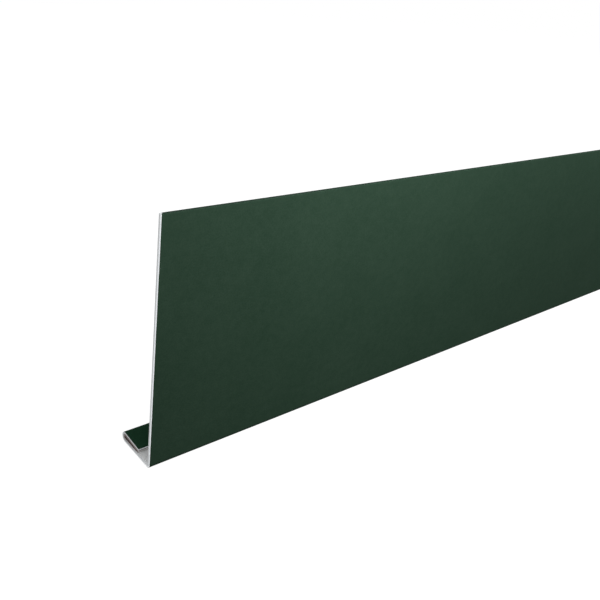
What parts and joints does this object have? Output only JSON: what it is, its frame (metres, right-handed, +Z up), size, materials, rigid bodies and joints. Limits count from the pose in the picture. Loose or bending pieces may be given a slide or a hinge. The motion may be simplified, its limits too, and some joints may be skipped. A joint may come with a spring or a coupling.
{
  "type": "gutter cover",
  "caption": "Long folded sheet-metal gutter cover with a tall flat face, a narrow square return along its foot and an open hem folded back over the return.",
  "frame": {"origin": "floor level under the middle of the cover, midway between the visible face and the back of the hem", "axes": "+X along the cover, -Y the way the visible face looks, +Z up the face from the return to the top cut edge"},
  "size_m": [2, 0.025, 0.12],
  "materials": {
    "coated_sheet": "matt dark green coating with a faint fine mottle on the visible side; pale grey reverse; bare metal cut edges"
  },
  "bodies": {
    "root": {"cover_sheet": "coated_sheet"}
  },
  "joints": []
}
